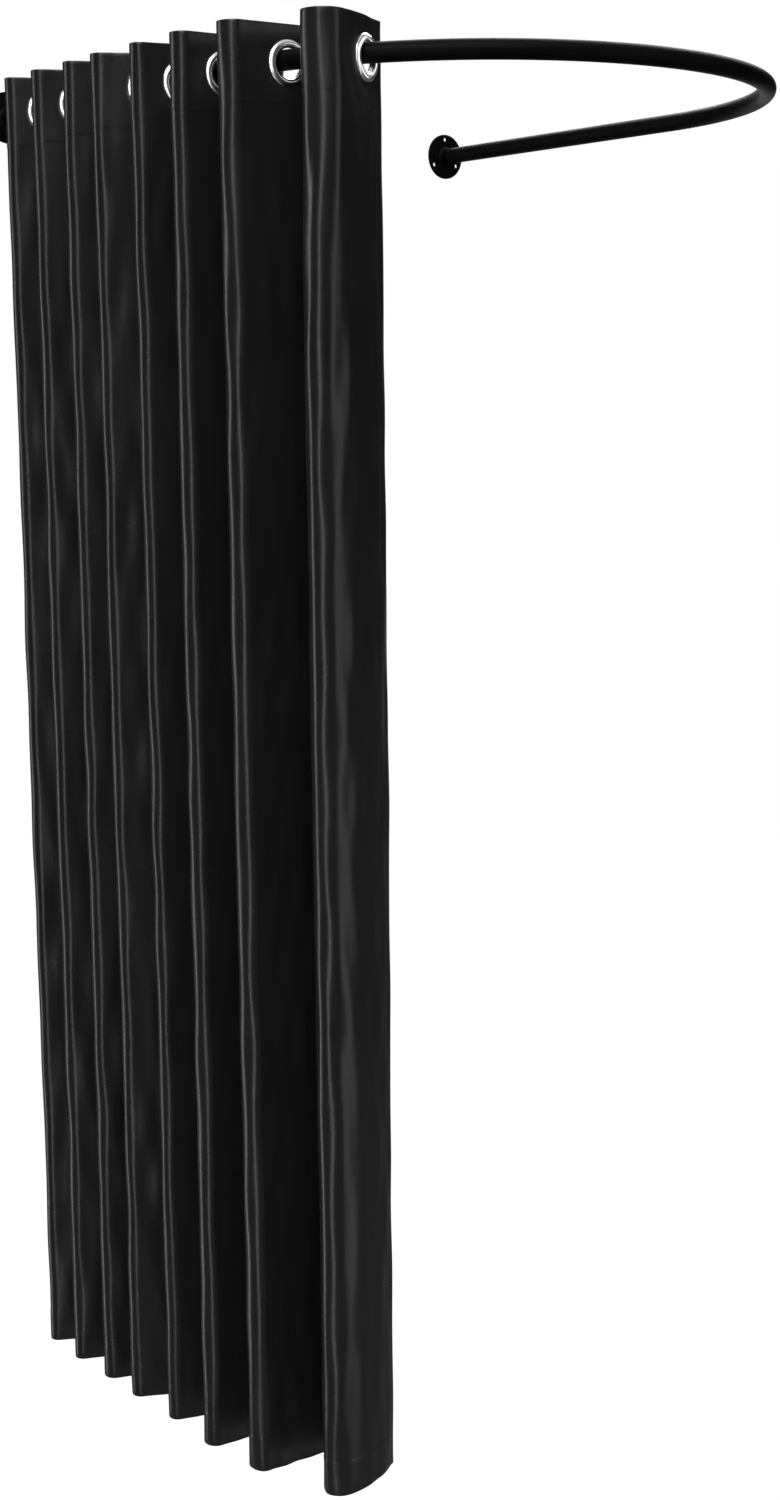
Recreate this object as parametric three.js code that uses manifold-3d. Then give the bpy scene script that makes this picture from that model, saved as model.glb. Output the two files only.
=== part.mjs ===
// Fitting room: a U-shaped tube rail that screws to a wall, with an eyelet curtain gathered on one leg.
// Millimetres, +Z up. The wall is the plane y = 0 and the rail reaches out towards -Y.
// The origin is on the wall, midway between the two flanges, at the height of the rail's axis.

import * as THREE from "three";
import { mergeVertices } from "three/addons/utils/BufferGeometryUtils.js";
import Module from "manifold-3d";

const wasm = await Module();
wasm.setup();

// Rail
const RAIL_WIDTH = 900; // between the axes of the two legs
const LEG_LENGTH = 550; // straight stretch of a leg, from the wall to the bend
const TUBE_DIAMETER = 27;
const TUBE_WALL = 1.5;
const TUBE_SIDES = 16;
const RAIL_STEPS = 36;

// Wall flanges
const FLANGE_DIAMETER = 78;
const FLANGE_THICKNESS = 4;
const FLANGE_SIDES = 16;
const SCREW_CIRCLE_DIAMETER = 60;
const SCREW_HOLE_DIAMETER = 6.5;
const SCREW_COUNT = 3; // the first one is straight above the tube
const WELD_GAP = 0.3; // between the tube and the hole it sits in

// Eyelets: a front ring whose barrel goes through the cloth, and a back ring that snaps on to the barrel
const EYELET_PLAY = 13; // how much wider the bore is than the tube
const EYELET_RIM = 11; // from the bore to the outer edge
const EYELET_EDGE = 0.9; // height of a ring at its outer edge
const EYELET_CROWN = 4; // height of a ring at the top of its rounding
const CROWN_INNER_SHARE = 0.25; // where the rounding starts, across the rim
const CROWN_OUTER_SHARE = 0.7; // where it ends
const SHOULDER_SHARE = 0.85; // height there
const BARREL_WALL = 2;
const BARREL_LIP = 0.4; // how far the barrel stands out past the back ring
const SNAP_GAP = 0.3; // between the barrel and what goes round it
const RUNNING_GAP = 0.4; // between the tube and the bore that hangs on it
const EYELET_SIDES = 16;

// Curtain
const CURTAIN_DROP = 2000;
const CURTAIN_RISE = 46; // top edge above the rail's axis
const CLOTH_THICKNESS = 1.2;
const CLAMP_GAP = 0.3; // between the cloth and a ring
const FLAT_MARGIN = 3; // flat cloth past the edge of an eyelet
const SIDE_MARGIN = 42; // from an end eyelet to the side hem
const PANEL_GAP = 0.3; // between neighbouring panels, at the crest of a fold

// Folds, from the wall to the free side hem. Outer crests lie outside the rail and inner crests inside it.
const FIRST_CREST = 84.5; // from the wall to the first outer crest
const CREST_SPACING = 100; // along the rail, from one outer crest to the next
const CREST_SPACING_SHARES = [0.87, 0.925, 0.835, 1.035, 1.045, 0.955, 1.24];
const OUTER_RADIUS = 15;
const OUTER_RADIUS_SHARES = [0.93, 1, 1, 1, 1, 1, 1.13, 1.53];
const EXTRA_REACH = 34.5; // straight cloth beyond what the eyelet needs, on the widest fold
const EXTRA_REACH_SHARES = [0, 0.14, 0.22, 0.36, 0.43, 0.58, 0.78, 1];
const INNER_RADIUS = 25;
const INNER_RADIUS_SHARES = [0.6, 0.6, 0.56, 0.64, 1.08, 1.04, 1];
const INSIDE_REACH = 7; // straight cloth beyond what the eyelet needs, inside the rail
const FOLD_LEAN = 12; // how far the inner crests are shifted along the rail, away from the wall
const FOLD_LEAN_SHARES = [2.2, 2.3, 2.75, 2.9, 1.6, 0.9, 2.4];
const HEM_LEAN_SHARES = [1, 1.3]; // the same for the two side hems
const CREST_SEGMENTS = 4; // to a quarter turn

const FOLD_COUNT = OUTER_RADIUS_SHARES.length;
const BEND_RADIUS = RAIL_WIDTH / 2;
const RAIL_LENGTH = 2 * LEG_LENGTH + Math.PI * BEND_RADIUS;
const BORE_RADIUS = (TUBE_DIAMETER + EYELET_PLAY) / 2;
const EYELET_RADIUS = BORE_RADIUS + EYELET_RIM;
const BARREL_RADIUS = BORE_RADIUS + BARREL_WALL;
const CLOTH_HOLE_RADIUS = BARREL_RADIUS + SNAP_GAP;
const FLAT_HALF = EYELET_RADIUS + FLAT_MARGIN;
const RING_SEAT = CLOTH_THICKNESS / 2 + CLAMP_GAP; // from the middle of the cloth to a ring
const BARREL_END = RING_SEAT + EYELET_CROWN + BARREL_LIP; // from the middle of the cloth
const HANG_SAMPLES = 18; // points on a quarter of the tube that are tried against the bore

const blackSteel = new THREE.MeshStandardMaterial({ color: 0x131315, roughness: 0.42, metalness: 0.4 });
const chrome = new THREE.MeshStandardMaterial({ color: 0xdedfe2, roughness: 0.12, metalness: 1 });
const blackCloth = new THREE.MeshStandardMaterial({ color: 0x1b1b1e, roughness: 0.7, metalness: 0 });

function namedMesh(name, geometry, material) {
  const mesh = new THREE.Mesh(geometry, material.clone());
  mesh.name = name;
  return mesh;
}

// A full circle is cut into two sides for each of the curve segments that an extrusion asks for.
function circle(radius, x = 0, y = 0) {
  return new THREE.Shape().absarc(x, y, radius, 0, 2 * Math.PI);
}

// The place in plan of a point that lies `along` the rail from the wall and `outward` of its axis.
function besideRail(along, outward) {
  if (along <= LEG_LENGTH) {
    return new THREE.Vector2(-BEND_RADIUS - outward, -along);
  }
  const bendLength = Math.PI * BEND_RADIUS;
  const turn = Math.min(along - LEG_LENGTH, bendLength) / BEND_RADIUS;
  const radius = BEND_RADIUS + outward;
  const past = Math.max(along - LEG_LENGTH - bendLength, 0); // how far up the second leg
  return new THREE.Vector2(-radius * Math.cos(turn), -LEG_LENGTH - radius * Math.sin(turn) + past);
}

class RailAxis extends THREE.Curve {
  getPoint(share, target = new THREE.Vector3()) {
    const place = besideRail(share * RAIL_LENGTH, 0);
    return target.set(place.x, place.y, 0);
  }
}

function makeRail() {
  const section = circle(TUBE_DIAMETER / 2);
  section.holes.push(circle(TUBE_DIAMETER / 2 - TUBE_WALL));
  const geometry = new THREE.ExtrudeGeometry(section, {
    steps: RAIL_STEPS,
    curveSegments: TUBE_SIDES / 2,
    extrudePath: new RailAxis(),
  });
  return namedMesh("u_rail", geometry, blackSteel);
}

// A round plate with the tube's hole in its middle. Its back lies on the wall.
function makeFlange(name, x) {
  const plate = circle(FLANGE_DIAMETER / 2);
  plate.holes.push(circle(TUBE_DIAMETER / 2 + WELD_GAP));
  for (let i = 0; i < SCREW_COUNT; i++) {
    const angle = Math.PI / 2 + (2 * Math.PI * i) / SCREW_COUNT;
    const place = new THREE.Vector2(Math.cos(angle), Math.sin(angle)).multiplyScalar(SCREW_CIRCLE_DIAMETER / 2);
    plate.holes.push(circle(SCREW_HOLE_DIAMETER / 2, place.x, place.y));
  }
  const geometry = new THREE.ExtrudeGeometry(plate, {
    depth: FLANGE_THICKNESS,
    curveSegments: FLANGE_SIDES / 2,
    bevelEnabled: false,
  });
  const flange = namedMesh(name, geometry, blackSteel);
  flange.rotation.x = Math.PI / 2;
  flange.position.x = x;
  return flange;
}

// Turns a closed profile of [radius, height] points about +Y. The middle of the cloth is at height 0.
function turned(profile) {
  const points = profile.map(([radius, height]) => new THREE.Vector2(radius, height));
  points.push(points[0].clone());
  return new THREE.LatheGeometry(points, EYELET_SIDES);
}

function makeFrontRing(name) {
  const geometry = turned([
    [BORE_RADIUS, -BARREL_END],
    [BARREL_RADIUS, -BARREL_END],
    [BARREL_RADIUS, RING_SEAT],
    [EYELET_RADIUS, RING_SEAT],
    [EYELET_RADIUS, RING_SEAT + EYELET_EDGE],
    [BORE_RADIUS + EYELET_RIM * CROWN_OUTER_SHARE, RING_SEAT + EYELET_CROWN * SHOULDER_SHARE],
    [BORE_RADIUS + EYELET_RIM * CROWN_INNER_SHARE, RING_SEAT + EYELET_CROWN],
    [BORE_RADIUS, RING_SEAT + EYELET_CROWN * SHOULDER_SHARE],
  ]);
  return namedMesh(name, geometry, chrome);
}

function makeBackRing(name) {
  const innerRadius = BARREL_RADIUS + SNAP_GAP;
  const geometry = turned([
    [innerRadius, -RING_SEAT],
    [innerRadius, -RING_SEAT - EYELET_CROWN],
    [BORE_RADIUS + EYELET_RIM * CROWN_OUTER_SHARE, -RING_SEAT - EYELET_CROWN * SHOULDER_SHARE],
    [EYELET_RADIUS, -RING_SEAT - EYELET_EDGE],
    [EYELET_RADIUS, -RING_SEAT],
  ]);
  return namedMesh(name, geometry, chrome);
}

// How far the centre of a bore hangs below the tube's axis, when the eyelet is turned by `yaw` from
// square to the tube. The ends of the barrel touch first, where the tube has drifted to one side.
function hangBelowTube(yaw) {
  const room = BORE_RADIUS * Math.cos(Math.PI / EYELET_SIDES) - RUNNING_GAP;
  const drift = BARREL_END * Math.tan(yaw);
  const halfWidth = TUBE_DIAMETER / 2 / Math.cos(yaw);
  const drops = Array.from({ length: HANG_SAMPLES + 1 }, (_, i) => {
    const angle = (Math.PI / 2) * (i / HANG_SAMPLES);
    const aside = drift + halfWidth * Math.cos(angle);
    return Math.sqrt(room * room - aside * aside) - (TUBE_DIAMETER / 2) * Math.sin(angle);
  });
  return Math.min(...drops);
}

// The circles beside the rail that the cloth wraps round in turn, inner and outer ones alternately.
// Circles are in (along, outward). The first and the last only lead the cloth to its side hems.
function makeCrests() {
  const inner = (along, radius) => ({
    centre: new THREE.Vector2(along, -FLAT_HALF - INSIDE_REACH),
    radius,
    top: -Math.PI / 2,
  });
  const outer = (along, index) => ({
    centre: new THREE.Vector2(along, FLAT_HALF + EXTRA_REACH * EXTRA_REACH_SHARES[index]),
    radius: OUTER_RADIUS * OUTER_RADIUS_SHARES[index],
    top: Math.PI / 2,
  });
  const first = outer(FIRST_CREST, 0);
  const [firstLean, lastLean] = HEM_LEAN_SHARES.map((share) => FOLD_LEAN * share);
  const crests = [inner(FIRST_CREST - first.radius - INNER_RADIUS + firstLean, INNER_RADIUS), first];
  let along = FIRST_CREST;
  for (let i = 1; i < FOLD_COUNT; i++) {
    const spacing = CREST_SPACING * CREST_SPACING_SHARES[i - 1];
    const lean = FOLD_LEAN * FOLD_LEAN_SHARES[i - 1];
    crests.push(inner(along + spacing / 2 + lean, INNER_RADIUS * INNER_RADIUS_SHARES[i - 1]));
    along += spacing;
    crests.push(outer(along, i));
  }
  const last = crests.at(-1);
  crests.push(inner(along + last.radius + INNER_RADIUS + lastLean, INNER_RADIUS));
  return crests;
}

// The straight cloth from one crest to the next leaves the free side of one circle and meets the wall
// side of the other. This is the unit vector square to it, towards the free side.
function squareToLimb(from, to) {
  const apart = to.centre.clone().sub(from.centre);
  const share = (from.radius + to.radius) / apart.length();
  apart.normalize();
  const aside = new THREE.Vector2(Math.abs(apart.y), -Math.sign(apart.y) * apart.x);
  return apart.multiplyScalar(share).addScaledVector(aside, Math.sqrt(1 - share * share));
}

// Where the straight cloth that leaves a crest lies at a given distance outside the rail's axis.
function pointOnLimb(crest, square, outward) {
  const start = crest.centre.clone().addScaledVector(square, crest.radius);
  const past = (outward - start.y) / square.x;
  return new THREE.Vector2(start.x - square.y * past, outward);
}

// The middle line of the cloth from the top of one crest to the top of the next, in (along, outward),
// with the vector square to the cloth at each point. A side hem ends it on the straight cloth.
// The straight cloth runs from the last point of `start` to the first point of `end`.
function panelLine(from, to, startsAtHem, endsAtHem) {
  const square = squareToLimb(from, to);
  const limbAngle = Math.atan2(square.y, square.x);
  const hem = { point: pointOnLimb(from, square, -SIDE_MARGIN), square };
  const arc = (crest, startAngle, endAngle, facing) =>
    Array.from({ length: CREST_SEGMENTS + 1 }, (_, i) => {
      const angle = startAngle + ((endAngle - startAngle) * i) / CREST_SEGMENTS;
      const away = new THREE.Vector2(Math.cos(angle), Math.sin(angle));
      const point = crest.centre.clone().addScaledVector(away, crest.radius);
      return { point, square: away.multiplyScalar(facing) };
    });
  const halfGap = (crest) => PANEL_GAP / 2 / crest.radius;
  const fromTop = from.top - Math.sign(from.top) * halfGap(from);
  const toTop = to.top + (to.top < 0 ? 2 * Math.PI - halfGap(to) : halfGap(to));
  return {
    start: startsAtHem ? [hem] : arc(from, fromTop, limbAngle, 1),
    end: endsAtHem ? [hem] : arc(to, limbAngle + Math.PI, toTop, -1),
  };
}

function toSolid(geometry) {
  const bare = geometry.index ? geometry.toNonIndexed() : geometry.clone();
  bare.deleteAttribute("normal");
  bare.deleteAttribute("uv");
  const merged = mergeVertices(bare);
  const mesh = new wasm.Mesh({
    numProp: 3,
    vertProperties: merged.attributes.position.array,
    triVerts: Uint32Array.from(merged.index.array),
  });
  return new wasm.Manifold(mesh);
}

function toGeometry(solid) {
  const mesh = solid.getMesh();
  const geometry = new THREE.BufferGeometry();
  geometry.setAttribute("position", new THREE.BufferAttribute(mesh.vertProperties, 3));
  geometry.setIndex(new THREE.BufferAttribute(mesh.triVerts, 1));
  geometry.computeVertexNormals();
  return geometry;
}

// A panel's cloth, in the frame of its eyelet: +X runs along the cloth into the room, and +Y is square
// to the cloth, towards the wall.
function makePanel(name, line, toEyelet, hang) {
  const edge = (side) =>
    line.map(({ point, square }) => {
      const shifted = point.clone().addScaledVector(square, (side * CLOTH_THICKNESS) / 2);
      return toEyelet(besideRail(shifted.x, shifted.y));
    });
  const outline = new THREE.Shape([...edge(1), ...edge(-1).reverse()]);
  const sheet = new THREE.ExtrudeGeometry(outline, { depth: CURTAIN_DROP, bevelEnabled: false });
  sheet.translate(0, 0, CURTAIN_RISE - CURTAIN_DROP);
  const punch = new THREE.CylinderGeometry(CLOTH_HOLE_RADIUS, CLOTH_HOLE_RADIUS, FLAT_HALF, EYELET_SIDES);
  punch.translate(0, 0, -hang);
  return namedMesh(name, toGeometry(toSolid(sheet).subtract(toSolid(punch))), blackCloth);
}

// An eyelet on the rail with its two rings and the panel of cloth that it carries.
function makeEyelet(index, from, to) {
  const number = String(index + 1).padStart(2, "0");
  const { start, end } = panelLine(from, to, index === 0, index === 2 * FOLD_COUNT - 1);
  const limbStart = start.at(-1).point;
  const limbEnd = end[0].point;
  const shareToRail = limbStart.y / (limbStart.y - limbEnd.y);
  const along = limbStart.x + (limbEnd.x - limbStart.x) * shareToRail;
  const across = besideRail(limbEnd.x, limbEnd.y).sub(besideRail(limbStart.x, limbStart.y));
  const centre = besideRail(limbStart.x, limbStart.y).addScaledVector(across, shareToRail);
  across.multiplyScalar(Math.sign(limbStart.y)); // towards the room on every panel
  const squareToRail = besideRail(along, -FLAT_HALF).sub(besideRail(along, 0));
  const hang = hangBelowTube(across.angleTo(squareToRail));
  const turn = across.angle();

  const eyelet = new THREE.Group();
  eyelet.position.set(centre.x, centre.y, 0);
  eyelet.rotation.z = turn;

  const toEyelet = (point) => point.sub(centre).rotateAround(new THREE.Vector2(), -turn);
  eyelet.add(makePanel(`curtain_panel_${number}`, [...start, ...end], toEyelet, hang));

  // The front of the cloth faces out of the room, so every other front ring faces the wall.
  const rings = new THREE.Group();
  rings.position.z = -hang;
  rings.rotation.z = index % 2 === 0 ? 0 : Math.PI;
  rings.add(makeFrontRing(`eyelet_${number}_front`), makeBackRing(`eyelet_${number}_back`));
  eyelet.add(rings);
  return eyelet;
}

const fittingRoom = new THREE.Group();
fittingRoom.add(makeRail());
fittingRoom.add(makeFlange("wall_flange_left", -BEND_RADIUS));
fittingRoom.add(makeFlange("wall_flange_right", BEND_RADIUS));

const crests = makeCrests();
for (let i = 0; i < 2 * FOLD_COUNT; i++) {
  fittingRoom.add(makeEyelet(i, crests[i], crests[i + 1]));
}

export default fittingRoom;
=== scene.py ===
# Fitting room: a U-shaped tube rail on two wall flanges, with an eyelet curtain gathered on its left leg.
# Metres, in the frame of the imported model. The wall is the plane y = 0 and the room is on its -Y side.
import math

import bmesh
import bpy
import numpy as np
from mathutils import Matrix, Vector


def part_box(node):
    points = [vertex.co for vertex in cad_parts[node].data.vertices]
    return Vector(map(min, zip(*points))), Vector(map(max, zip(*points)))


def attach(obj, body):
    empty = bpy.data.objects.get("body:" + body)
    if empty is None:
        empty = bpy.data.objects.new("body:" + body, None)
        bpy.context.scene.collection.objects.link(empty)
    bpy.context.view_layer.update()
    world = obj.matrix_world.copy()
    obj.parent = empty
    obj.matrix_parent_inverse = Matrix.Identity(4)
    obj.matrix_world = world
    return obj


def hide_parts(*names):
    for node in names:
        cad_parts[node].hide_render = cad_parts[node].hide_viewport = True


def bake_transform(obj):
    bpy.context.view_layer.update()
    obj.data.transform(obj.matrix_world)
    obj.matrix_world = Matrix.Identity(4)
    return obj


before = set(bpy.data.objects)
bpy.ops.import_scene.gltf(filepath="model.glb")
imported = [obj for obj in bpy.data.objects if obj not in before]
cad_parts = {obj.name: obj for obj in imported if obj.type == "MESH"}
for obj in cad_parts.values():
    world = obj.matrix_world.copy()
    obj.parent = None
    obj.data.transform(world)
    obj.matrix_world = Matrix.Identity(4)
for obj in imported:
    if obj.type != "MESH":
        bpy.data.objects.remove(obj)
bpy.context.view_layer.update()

# Camera, as the photograph was taken
CAMERA_PLACE = (-2.229, -3.055, -0.470)
CAMERA_HEADING = (0.6385, 0.7696)
CAMERA_DIP = math.radians(8.60)
CAMERA_ROLL = math.radians(-0.68)
LENS = 52.32
FILM_WIDTH = 36
FAR_CLIP = 50

# Rail and flanges
BEND_RADIUS = 0.45
LEG_LENGTH = 0.55
LEG_STATIONS = (0, 0.01, 0.2, 0.4)
TUBE_RADIUS = 0.0135
TUBE_WALL = 0.0015
TUBE_SIDES = 56
BEND_STEPS = 120
FLANGE_RADIUS = 0.0388
FLANGE_THICKNESS = 0.004
FLANGE_HOLE = 0.0138
FLANGE_EDGE = 0.0006
FLANGE_EDGE_CUT = 0.3 * FLANGE_EDGE
SCREW_COUNT = 3
SCREW_CIRCLE = 0.030
SCREW_HOLE = 0.00325
SCREW_HEAD_HOLE = 0.0047
COUNTERSINK = 0.0012
CUTTER_CORE = 0.0001
CUTTER_PAST = 0.002
CUTTER_SIDES = 40
WELD_REACH = 0.0034
WELD_GAP = 0.00005
WELD_STILL = 0.0005
# Profile of the weld, out of the tube's surface and forward of the flange. Past WELD_STILL it ripples.
WELD_PROFILE = [
    (WELD_GAP, WELD_GAP), (WELD_REACH, WELD_GAP), (0.0024, 0.0008), (0.0012, 0.0018), (WELD_STILL, 0.0028),
    (WELD_GAP, WELD_REACH),
]
# Depth, waves round the tube and phase
WELD_RIPPLES = [(0.00016, 31, 0), (0.0001, 13, 1)]
WELD_SIDES = 186
LATHE_SIDES = 96

# Eyelets. Heights are from the middle of the cloth, towards the front ring.
RING_BORE = 0.0197
RING_RADIUS = 0.0308
BARREL_RADIUS = 0.0219
BARREL_END = 0.0053
BACK_RING_BORE = 0.0223
FRONT_PROFILE = [
    (RING_RADIUS, 0.0009), (RING_RADIUS, 0.0014), (0.0306, 0.0019), (0.0299, 0.0026), (0.0285, 0.0036),
    (0.0266, 0.0043), (0.0247, 0.0047), (0.0230, 0.0048), (0.0216, 0.0045), (0.0205, 0.0038),
    (0.0199, 0.0027), (RING_BORE, 0.0014), (RING_BORE, -0.0038), (0.0199, -0.0048), (0.0204, -BARREL_END),
    (0.0212, -BARREL_END), (BARREL_RADIUS, -0.0049), (BARREL_RADIUS, 0.0009),
]
BACK_PROFILE = [
    (RING_RADIUS, -0.0009), (RING_RADIUS, -0.0014), (0.0306, -0.0019), (0.0298, -0.0026), (0.0283, -0.0036),
    (0.0265, -0.0043), (0.0249, -0.0047), (0.0235, -0.0048), (0.0226, -0.0045), (BACK_RING_BORE, -0.0039),
    (BACK_RING_BORE, -0.0009),
]

# Curtain and its folds, from the wall to the free side hem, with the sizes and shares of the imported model
CURTAIN_TOP = 0.0457
CURTAIN_BOTTOM = -1.9537
SIDE_MARGIN = 0.042
FLAT_HALF = 0.034
FIRST_CREST = 0.0845
CREST_SPACING = 0.1
CREST_SPACING_SHARES = [0.87, 0.925, 0.835, 1.035, 1.045, 0.955, 1.24]
OUTER_RADIUS = 0.015
OUTER_RADIUS_SHARES = [0.93, 1, 1, 1, 1, 1, 1.13, 1.53]
EXTRA_REACH = 0.0345
EXTRA_REACH_SHARES = [0, 0.14, 0.22, 0.36, 0.43, 0.58, 0.78, 1]
INNER_RADIUS = 0.025
INNER_RADIUS_SHARES = [0.6, 0.6, 0.56, 0.64, 1.08, 1.04, 1]
INSIDE_REACH = 0.007
FOLD_LEAN = 0.012
FOLD_LEAN_SHARES = [2.2, 2.3, 2.75, 2.9, 1.6, 0.9, 2.4]
HEM_LEAN_SHARES = [1, 1.3]
ARC_POINTS = 65
PATH_STEP = 0.001
CURVE_STEPS = 24
TINY = 1e-9

# Thickness of the cloth from its middle, the grid of its points, and its hems
CLOTH_HALF = 0.0005
HEM_HALF = 0.0009
EDGE_HALF = 0.00035
EDGE_ROUND = (-0.0004, 0.0012)
EDGE_STEPS = (0, 0.0006, 0.0016)
CELL = 0.00375
HOLE_CELLS = 6
ROUND_CELLS = 12
COLUMN_STEP = 0.0029
ROW_STEP = 0.0125
GRID_CENTRE = -0.0055
TOP_HEM_LINE = -0.0555
BOTTOM_HEM_LINE = -1.905
BOTTOM_HEM_ROWS = (-1.918, -1.932, -1.944)
SIDE_HEM = 0.024
SIDE_HEM_COLUMNS = (0.006, 0.012, 0.018)
STEP_WIDTH = 0.0018
STEP_MARGIN = 0.0012

# Soft forms of the hanging cloth: waves, crumples, where the rings hold it, and how it settles at its foot
SEED = 11
SWAY = 0.0006
SWAY_WAVES = 4
SWAY_REACHES = (0.35, 1.0)
SWAY_PER_METRE = (0.8, 1.4)
SWAY_FADES = 0.6
SWAY_RISES = 1.2
SWAY_AT_HEMS = (0.8, 0.6)
SWAY_AT_EYELETS = 0.5
SWAY_AT_CRESTS = 1.0
SETTLING = 0.0015
CRUMPLE = 0.00028
CRUMPLE_WAVES = 16
CRUMPLES_ACROSS = (9, 30)
CRUMPLES_DOWN = (2.5, 8.0)
CRUMPLE_SHARES = (0.5, 1.0)
RING_HOLD = (0.033, 0.09)
TANGENT_STEP = 0.0008

# The front fold, which is rounder than the rest
FRONT_BULGE = 0.0055
FRONT_BULGE_LEAN = 0.8
FRONT_BOW = 0.0045
FRONT_BOW_ACROSS = 0.03
FRONT_BOW_STARTS = (0.05, 0.3)
FOOT_START = 0.05
ROUNDING = (0.03, 0.40)
ROUND_SHARE = 0.8
ROUND_TO_RING = 0.03
HEM_SETTLES = (0.4, 1.0)
# At its top it is flatter past the crest and rounder on the way to the ring: depth, place and reach of each.
TOP_CHANGES = [(-0.0054, 0.030, 0.026), (0.0034, 0.097, 0.022)]
TOP_FADES = (-0.03, 0.12)
TOP_RING_HOLD = (0.034, 0.054)
# Its line at the foot, in plan, from inside the fold to the free side hem. From the fifth point on it follows
# places on the photo's foot edge, measured through the camera and then moved one by one.
FRONT_FOOT = [
    (-0.4345, -0.7465), (-0.4560, -0.7600), (-0.4680, -0.7720), (-0.4745, -0.7820), (-0.4775, -0.7905),
    (-0.4760, -0.7992), (-0.4705, -0.8066), (-0.4630, -0.8110), (-0.4536, -0.8130), (-0.4436, -0.8134),
    (-0.4320, -0.8125), (-0.4191, -0.8097), (-0.4044, -0.8050), (-0.3880, -0.7995), (-0.3690, -0.7912),
    (-0.3496, -0.7813),
]

# Seams: where they stop before an eyelet line and an edge, how far inside a hem they are, and their points
SEAM_FROM_EYELET = 0.003
SEAM_FROM_HEM = 0.004
SEAM_INSET = 0.002
SEAM_STEP = 0.004
SEAM_POINTS = 8
SIDE_SEAM_POINTS = 260
STITCH_LIFT = 0.00005
STITCH_SIZES = (("Pitch", 0.0034), ("Stitch length", 0.0026), ("Thread width", 0.00062))


def new_object(name, data):
    made = bpy.data.objects.new(name, data)
    bpy.context.scene.collection.objects.link(made)
    return made


def make_camera():
    data = bpy.data.cameras.new("photo_camera")
    data.sensor_width = FILM_WIDTH
    data.lens = LENS
    data.clip_end = FAR_CLIP
    camera = new_object("photo_camera", data)
    level = math.cos(CAMERA_DIP)
    forward = Vector((CAMERA_HEADING[0] * level, CAMERA_HEADING[1] * level, -math.sin(CAMERA_DIP)))
    right = Vector((CAMERA_HEADING[1], -CAMERA_HEADING[0], 0)).normalized()
    up = right.cross(forward)
    turned_right = math.cos(CAMERA_ROLL) * right + math.sin(CAMERA_ROLL) * up
    turned_up = math.cos(CAMERA_ROLL) * up - math.sin(CAMERA_ROLL) * right
    turn = Matrix((turned_right, turned_up, -forward)).transposed()
    camera.matrix_world = Matrix.Translation(CAMERA_PLACE) @ turn.to_4x4()
    bpy.context.scene.camera = camera


make_camera()


def smoothstep(value, low, high):
    share = np.clip((value - low) / (high - low), 0, 1)
    return share * share * (3 - 2 * share)


def beside_rail(along, outward):
    """The places in plan of points that lie `along` the rail from the wall and `outward` of its axis."""
    along = np.asarray(along, float)
    turn = np.maximum(along - LEG_LENGTH, 0) / BEND_RADIUS
    radius = BEND_RADIUS + np.asarray(outward, float)
    straight = np.minimum(along, LEG_LENGTH)
    return np.stack([-radius * np.cos(turn), -straight - radius * np.sin(turn)], -1)


def new_piece(name, points, faces, material, smooth=True):
    mesh = bpy.data.meshes.new(name)
    mesh.from_pydata([tuple(p) for p in points], [], [tuple(f) for f in faces])
    mesh.validate()
    mesh.polygons.foreach_set("use_smooth", [smooth] * len(mesh.polygons))
    mesh.materials.append(material)
    mesh.update()
    return new_object(name, mesh)


def sharpen(piece, degrees):
    piece.data.set_sharp_from_angle(angle=math.radians(degrees))


# Materials

CLOTH_TONES = (0.0066, 0.0066, 0.0069), (0.0116, 0.0116, 0.0121)
CLOTH_ROUGHNESS = (0.25, 0.30)
# Scale and distortion of the two waves of the weave, and how much the weave adds to the tone
FLOATS = (420, 0.6)
CROSSINGS = (520, 0.4)
WEAVE_TONE = 0.35
# The crumples of the bump are long down the cloth
CRUMPLE_STRETCH = (1, 1, 0.22)


def link(tree, start, end):
    tree.links.new(start, end)


def add_node(tree, kind, **settings):
    node = tree.nodes.new(kind)
    for key, value in settings.items():
        if key in node.inputs:
            node.inputs[key].default_value = value
        else:
            setattr(node, key, value)
    return node


def make_grain_group():
    """Fine grain for the height of a bump, and broad patches for roughness and colour."""
    group = bpy.data.node_groups.new("surface_grain", "ShaderNodeTree")
    for name, kind in (("Place", "NodeSocketVector"), ("Grain per metre", "NodeSocketFloat"),
                       ("Patches per metre", "NodeSocketFloat")):
        group.interface.new_socket(name, in_out="INPUT", socket_type=kind)
    for name in ("Height", "Patches"):
        group.interface.new_socket(name, in_out="OUTPUT", socket_type="NodeSocketFloat")
    given = add_node(group, "NodeGroupInput")
    out = add_node(group, "NodeGroupOutput")
    grain = add_node(group, "ShaderNodeTexNoise", Detail=2.0, Roughness=0.5)
    patches = add_node(group, "ShaderNodeTexNoise", Detail=3.0, Roughness=0.55)
    for texture, scale in ((grain, "Grain per metre"), (patches, "Patches per metre")):
        link(group, given.outputs["Place"], texture.inputs["Vector"])
        link(group, given.outputs[scale], texture.inputs["Scale"])
    link(group, grain.outputs["Fac"], out.inputs["Height"])
    link(group, patches.outputs["Fac"], out.inputs["Patches"])
    return group


GRAIN = make_grain_group()


def new_material(name):
    material = bpy.data.materials.new(name)
    material.use_nodes = True
    tree = material.node_tree
    return material, tree, tree.nodes["Principled BSDF"]


def place_grain(tree, vector, grain, patches):
    node = add_node(tree, "ShaderNodeGroup", node_tree=GRAIN)
    node.inputs["Grain per metre"].default_value = grain
    node.inputs["Patches per metre"].default_value = patches
    link(tree, vector, node.inputs["Place"])
    return node


def spread(tree, value, low, high, start=0.3, end=0.7):
    """Turns a pattern from start to end into values from low to high."""
    node = add_node(tree, "ShaderNodeMapRange")
    for key, number in (("From Min", start), ("From Max", end), ("To Min", low), ("To Max", high)):
        node.inputs[key].default_value = number
    link(tree, value, node.inputs["Value"])
    return node.outputs["Result"]


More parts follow.
